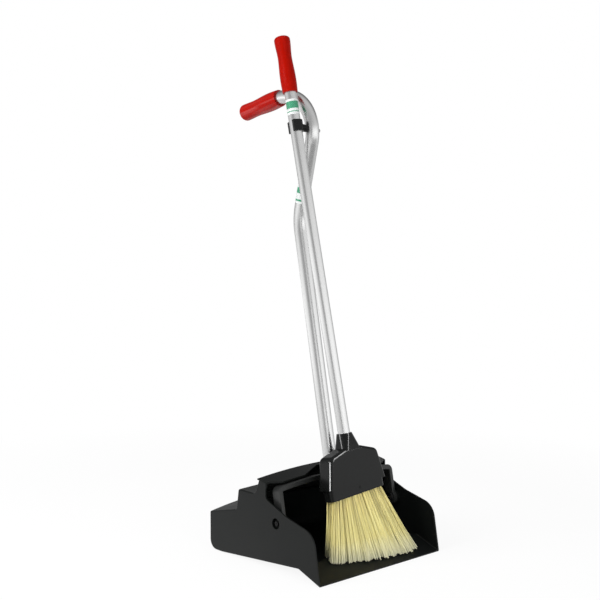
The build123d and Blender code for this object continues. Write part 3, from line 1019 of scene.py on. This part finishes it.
    def fibres(self) -> bpy.types.Object:
        """Makes the fan of fibres, tuft by tuft, from copies of one strand.

        Returns:
            The fan. Its map holds each strand's own number and the share of its length.
        """
        fan = self.strand()
        fan.name = "bristle_fan"
        rod = [vertex.co.copy() for vertex in fan.data.vertices]
        rod_faces = [tuple(face.vertices) for face in fan.data.polygons]
        dice = random.Random(self.seed)
        points: list[Vector] = []
        faces: list[tuple[int, ...]] = []
        marks: list[Span] = []
        for column, row in ((column, row) for column in range(self.columns) for row in range(self.rows)):
            tuft = self.tuft(column, row, dice)
            lean = (dice.gauss(0, self.lean_play), dice.gauss(0, self.lean_play))
            for _ in range(self.locks):
                lock = self.lock(dice)
                for _ in range(self.strands):
                    root, tip = self.ends(tuft, lean, lock, dice)
                    bow = self.across * dice.gauss(0, self.bow_play)
                    bow = bow + self.back * dice.gauss(0, self.bow_play)
                    # Each strand's darkness: its lock's shade with a little play, partly painted shade
                    # between strands
                    own = min(1.0, max(0.0, lock.shade + dice.gauss(0, self.shade_play)))
                    first = len(points)
                    faces += [tuple(first + corner for corner in face) for face in rod_faces]
                    for corner in rod:
                        side = self.across * corner.x + self.back * corner.y
                        points.append(self.run(root, tip, bow, corner.z) + side)
                        marks.append((own, corner.z))
        mesh = bpy.data.meshes.new("bristle_fan")
        mesh.from_pydata(points, [], faces)
        layer = mesh.uv_layers.new(name="strand")
        for loop in mesh.loops:
            layer.data[loop.index].uv = marks[loop.vertex_index]
        fan.data = mesh
        bpy.ops.object.shade_smooth()
        return fan

    def dress(self) -> None:
        """Paints the broom's rigid pieces and plants the fibres."""
        paint_nodes(
            {
                "broom_tube": Finish.TUBE,
                "broom_grip": Finish.BROOM_GRIP,
                "head_cap": Finish.HEAD,
                "bristle_block": Finish.HEAD,
                "neck_screw": Finish.FIXING,
            }
        )
        fan = self.fibres()
        paint(fan, Finish.FIBRE)
        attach(fan, self.body)
        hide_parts("bristles")
        anchor = self.place(0, self.half_depth + self.block_middle, self.root_height)
        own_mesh(fan)
        LOG.info("bristle_fan: %d faces", len(fan.data.polygons))

    def label(self) -> WrapLabel:
        """The label under the broom's grip.

        Returns:
            The label, not yet built.
        """
        start = self.place(0, 0, self.label_height)
        return WrapLabel(
            "broom_label",
            self.body,
            start,
            self.up,
            self.tube_radius,
            self.label_length,
            self.label_stripes,
        )


@dataclass(frozen=True)
class SoftLamp:
    """A soft square lamp aimed at the set, in a direction made of shares: to the camera, left and up."""

    name: str
    towards: Triple
    distance: float
    size: float
    power: float


@dataclass(frozen=True)
class EdgeLamp:
    """A strip lamp for the head's rounded edges.

    Its bearing from the camera to the right, its angle above the floor, its width and its height are in
    degrees. A glow of one is white.
    """

    name: str
    turn: float
    rise: float
    width: float
    height: float
    glow: float


@dataclass
class Studio:
    """White sweep, soft lamps and the camera.

    Bearings are in degrees from the camera, to the right. A ramp is (start, slope).
    """

    eye: Triple = (-1.231, -1.428, 0.540)
    azimuth: float = -41.91
    dip: float = 2.36
    lens: float = 58.26
    sensor: float = 36.0
    view_end: float = 50.0

    aim: Triple = (0.0, -0.12, 0.4)
    lamps: tuple[SoftLamp, ...] = (
        SoftLamp("key", (1.0, -0.7, 0.12), 2.6, 1.6, 35.0),
        SoftLamp("top", (0.1, 0.0, 1.0), 2.4, 2.0, 14.0),
        SoftLamp("fill", (0.6, 1.0, 0.6), 2.6, 1.6, 68.0),
    )
    edge_distance: float = 1.5
    edge_lamps: tuple[EdgeLamp, ...] = (
        EdgeLamp("edge_left", -46.0, 13.0, 28.0, 14.0, 56.0),
        EdgeLamp("edge_neck", -82.0, 15.0, 12.0, 12.0, 20.0),
        EdgeLamp("edge_right", 69.0, 22.0, 12.0, 18.0, 24.0),
        EdgeLamp("edge_slope", 82.0, 39.0, 18.0, 16.0, 30.0),
    )

    floor_side: float = 24.0
    floor_drop: float = 0.0004
    floor_tones: tuple[Colour, Colour] = ((0.86, 0.86, 0.86), (0.9, 0.9, 0.9))
    floor_cloud: float = 0.4
    floor_cover: float = 0.9
    floor_cover_ramp: Span = (0.7, 1.6)
    # Painted reflection on the floor, seen only in reflections: painted shade in front and far off, a painted
    # glow far to the left
    floor_front_ramp: Span = (0.2, 1.1)
    floor_front_shade: float = 0.3
    floor_far_ramp: Span = (0.35, 1.2)
    floor_far_shade: float = 0.38
    floor_glow_bearing: float = -78.0
    floor_glow_ramp: Span = (0.9, 0.7)
    floor_painted_glow: float = 0.7

    light: float = 0.36
    room: float = 0.6
    ceiling_ramp: Span = (0.31, 5.4)
    ceiling_edge_slope: float = 2.0
    ceiling_shade: float = 0.36
    camera_bearing: float = -20.0
    camera_shade: float = 0.26
    back_shade: float = 0.16
    window_top: float = 0.4
    window_slope: float = 4.5
    window_edge: float = 82.0
    window_edge_slope: float = 5.0
    window_bearing: float = 30.0
    window_fade: float = 0.7
    window_glow: float = 0.88
    wall_slope: float = 5.0
    wall_bearing: float = -66.0
    wall_fade: float = 6.0
    wall_glow: float = 0.8

    def __post_init__(self) -> None:
        """Finds the middle of the broom's head and the direction from the object to the camera."""
        low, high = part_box("head_cap")
        self.head = (Vector(low) + Vector(high)) / 2
        self.back = direction(self.azimuth, self.dip)

    def camera(self) -> None:
        """Sets the camera at the photograph's viewpoint."""
        deselect()
        bpy.ops.object.camera_add(location=self.eye)
        camera = bpy.context.object
        camera.name = "camera"
        camera.rotation_euler = self.back.to_track_quat("Z", "Y").to_euler()
        camera.data.lens = self.lens
        camera.data.sensor_width = self.sensor
        camera.data.sensor_fit = "HORIZONTAL"
        camera.data.clip_end = self.view_end
        bpy.context.scene.camera = camera

    def lamp(self, name: str, towards: Vector, place: Vector) -> bpy.types.Object:
        """Adds an area lamp.

        Args:
            name: Name of the lamp.
            towards: Direction from what it lights to the lamp.
            place: Where it hangs.

        Returns:
            The lamp.
        """
        deselect()
        bpy.ops.object.light_add(type="AREA", location=place)
        lamp = bpy.context.object
        lamp.name = name
        lamp.rotation_euler = towards.to_track_quat("Z", "Y").to_euler()
        return lamp

    def hang_soft(self, plan: SoftLamp) -> None:
        """Adds a soft lamp that reflections don't show.

        Args:
            plan: The lamp.
        """
        forward, aside, rise = plan.towards
        towards = self.back * forward + direction(self.azimuth + LEFT) * aside + UP * rise
        lamp = self.lamp(plan.name, towards, Vector(self.aim) + towards.normalized() * plan.distance)
        lamp.data.size = plan.size
        lamp.data.energy = plan.power
        lamp.visible_glossy = False

    def hang_edge(self, plan: EdgeLamp) -> None:
        """Adds a strip lamp that draws a thin light line along the rounded edges of the broom's head.

        Args:
            plan: The lamp.
        """
        towards = direction(self.azimuth + plan.turn, plan.rise)
        lamp = self.lamp(plan.name, towards, self.head + towards * self.edge_distance)
        lamp.data.shape = "RECTANGLE"
        lamp.data.size = self.edge_distance * math.radians(plan.width)
        lamp.data.size_y = self.edge_distance * math.radians(plan.height)
        lamp.data.energy = plan.glow * math.pi * lamp.data.size * lamp.data.size_y
        lamp.visible_diffuse = False
        lamp.light_linking.receiver_collection = self.shiny()

    def shiny(self) -> bpy.types.Collection:
        """The pieces that the strip lamps light.

        Returns:
            The collection, made on first use.
        """
        group = bpy.data.collections.get("head_pieces")
        if group is None:
            group = bpy.data.collections.new("head_pieces")
            for node in ("head_cap", "bristle_block"):
                group.objects.link(frame["nodes"][node])
        return group

    def floor(self) -> None:
        """Lays a pale floor that is white to the camera and still takes the shadow. In reflections it glows
        instead, a painted reflection that is brighter far to the left and painted darker in front and far
        off.
        """
        deselect()
        bpy.ops.mesh.primitive_plane_add(size=self.floor_side, location=(0, 0, -self.floor_drop))
        floor = bpy.context.object
        floor.name = "floor"
        recipe, made = Recipe.material("floor_paper")
        place = recipe.place()
        pale = recipe.mix(recipe.noise(place, self.floor_cloud), *self.floor_tones)
        matte = recipe.node("ShaderNodeBsdfDiffuse", 0, None, {"Color": pale})
        away = recipe.vector("LENGTH", "Value", {0: place})
        front = recipe.along(place, self.back)
        aside = recipe.along(place, direction(self.azimuth + self.floor_glow_bearing))
        # Painted reflection: seen in reflections, the floor glows brighter far to the left and is painted
        # darker in front and far off.
        fade = front.ramp(*self.floor_front_ramp) * self.floor_front_shade
        fade = away.ramp(*self.floor_far_ramp) * self.floor_far_shade + fade
        wall = aside.ramp(*self.floor_glow_ramp) * self.floor_painted_glow
        strength = 1.0 + (wall - fade) * recipe.glossy()
        glow = recipe.node("ShaderNodeEmission", 0, None, {"Color": WHITE, "Strength": strength})
        far = away.ramp(*self.floor_cover_ramp)
        cover = recipe.seen() * (far * (1.0 - self.floor_cover) + self.floor_cover)
        share = cover.at_least(recipe.glossy())
        mixed = recipe.node("ShaderNodeMixShader", 0, None, {0: share, 1: matte, 2: glow})
        recipe.node("ShaderNodeOutputMaterial", 0, None, {"Surface": mixed})
        floor.data.materials.append(made)

    def facing(self, recipe: Recipe, towards: Signal, turn: float) -> Signal:
        """How far a direction of the surroundings faces a bearing.

        Args:
            recipe: Tree to add the nodes to.
            towards: Direction.
            turn: The bearing.

        Returns:
            The cosine between the two, and nought behind.
        """
        return recipe.along(towards, direction(self.azimuth + turn)).at_least(0.0)

    def world(self) -> None:
        """Makes the surroundings white to the camera, softer as a light and a room in reflections."""
        scene = bpy.context.scene
        scene.world = bpy.data.worlds.new("studio")
        scene.world.use_nodes = True
        recipe = Recipe(scene.world.node_tree)
        towards = recipe.node("ShaderNodeTexCoord", "Generated")
        height = recipe.node("ShaderNodeSeparateXYZ", "Z", None, {"Vector": towards})
        away = self.facing(recipe, towards, BEHIND)
        camera = self.facing(recipe, towards, self.camera_bearing)
        ceiling = height.ramp(*self.ceiling_ramp) * (away * self.ceiling_edge_slope).at_most(1.0)
        window = ((self.window_top - height) * self.window_slope).clamped()
        edge = self.facing(recipe, towards, self.window_edge)
        window = window * (edge * self.window_edge_slope).at_most(1.0)
        window = window * self.facing(recipe, towards, self.window_bearing) ** self.window_fade
        wall = (1.0 - height * self.wall_slope).clamped()
        wall = wall * self.facing(recipe, towards, self.wall_bearing) ** self.wall_fade
        room = self.room - ceiling * self.ceiling_shade
        room = room - camera * camera * self.camera_shade - away * away * self.back_shade
        room = room + window * self.window_glow + wall * self.wall_glow
        mirror = recipe.glossy()
        plain = self.light + recipe.seen() * (1.0 - self.light)
        strength = plain * (1.0 - mirror) + room * mirror
        sky = recipe.node("ShaderNodeBackground", 0, None, {"Color": WHITE, "Strength": strength})
        recipe.node("ShaderNodeOutputWorld", 0, None, {"Surface": sky})

    def build(self) -> None:
        """Sets up camera, floor, surroundings and lamps."""
        self.camera()
        self.floor()
        self.world()
        for plan in self.lamps:
            self.hang_soft(plan)
        for plan in self.edge_lamps:
            self.hang_edge(plan)
        bpy.context.scene.view_settings.view_transform = "Standard"
        LOG.info("studio ready")


def main() -> None:
    """Builds the set's pieces in order."""
    logging.basicConfig(level=logging.INFO, format="%(message)s")
    Studio().build()
    PanAssembly().dress()
    handle = HandleAssembly()
    handle.dress()
    lift = next(joint for joint in frame["joints"] if joint["name"] == "broom_lift")
    broom = BroomAssembly(Vector(lift["axis"]).normalized())
    broom.dress()
    broom.label().dress()
    handle.label().dress()


if __name__ == "__main__":
    main()
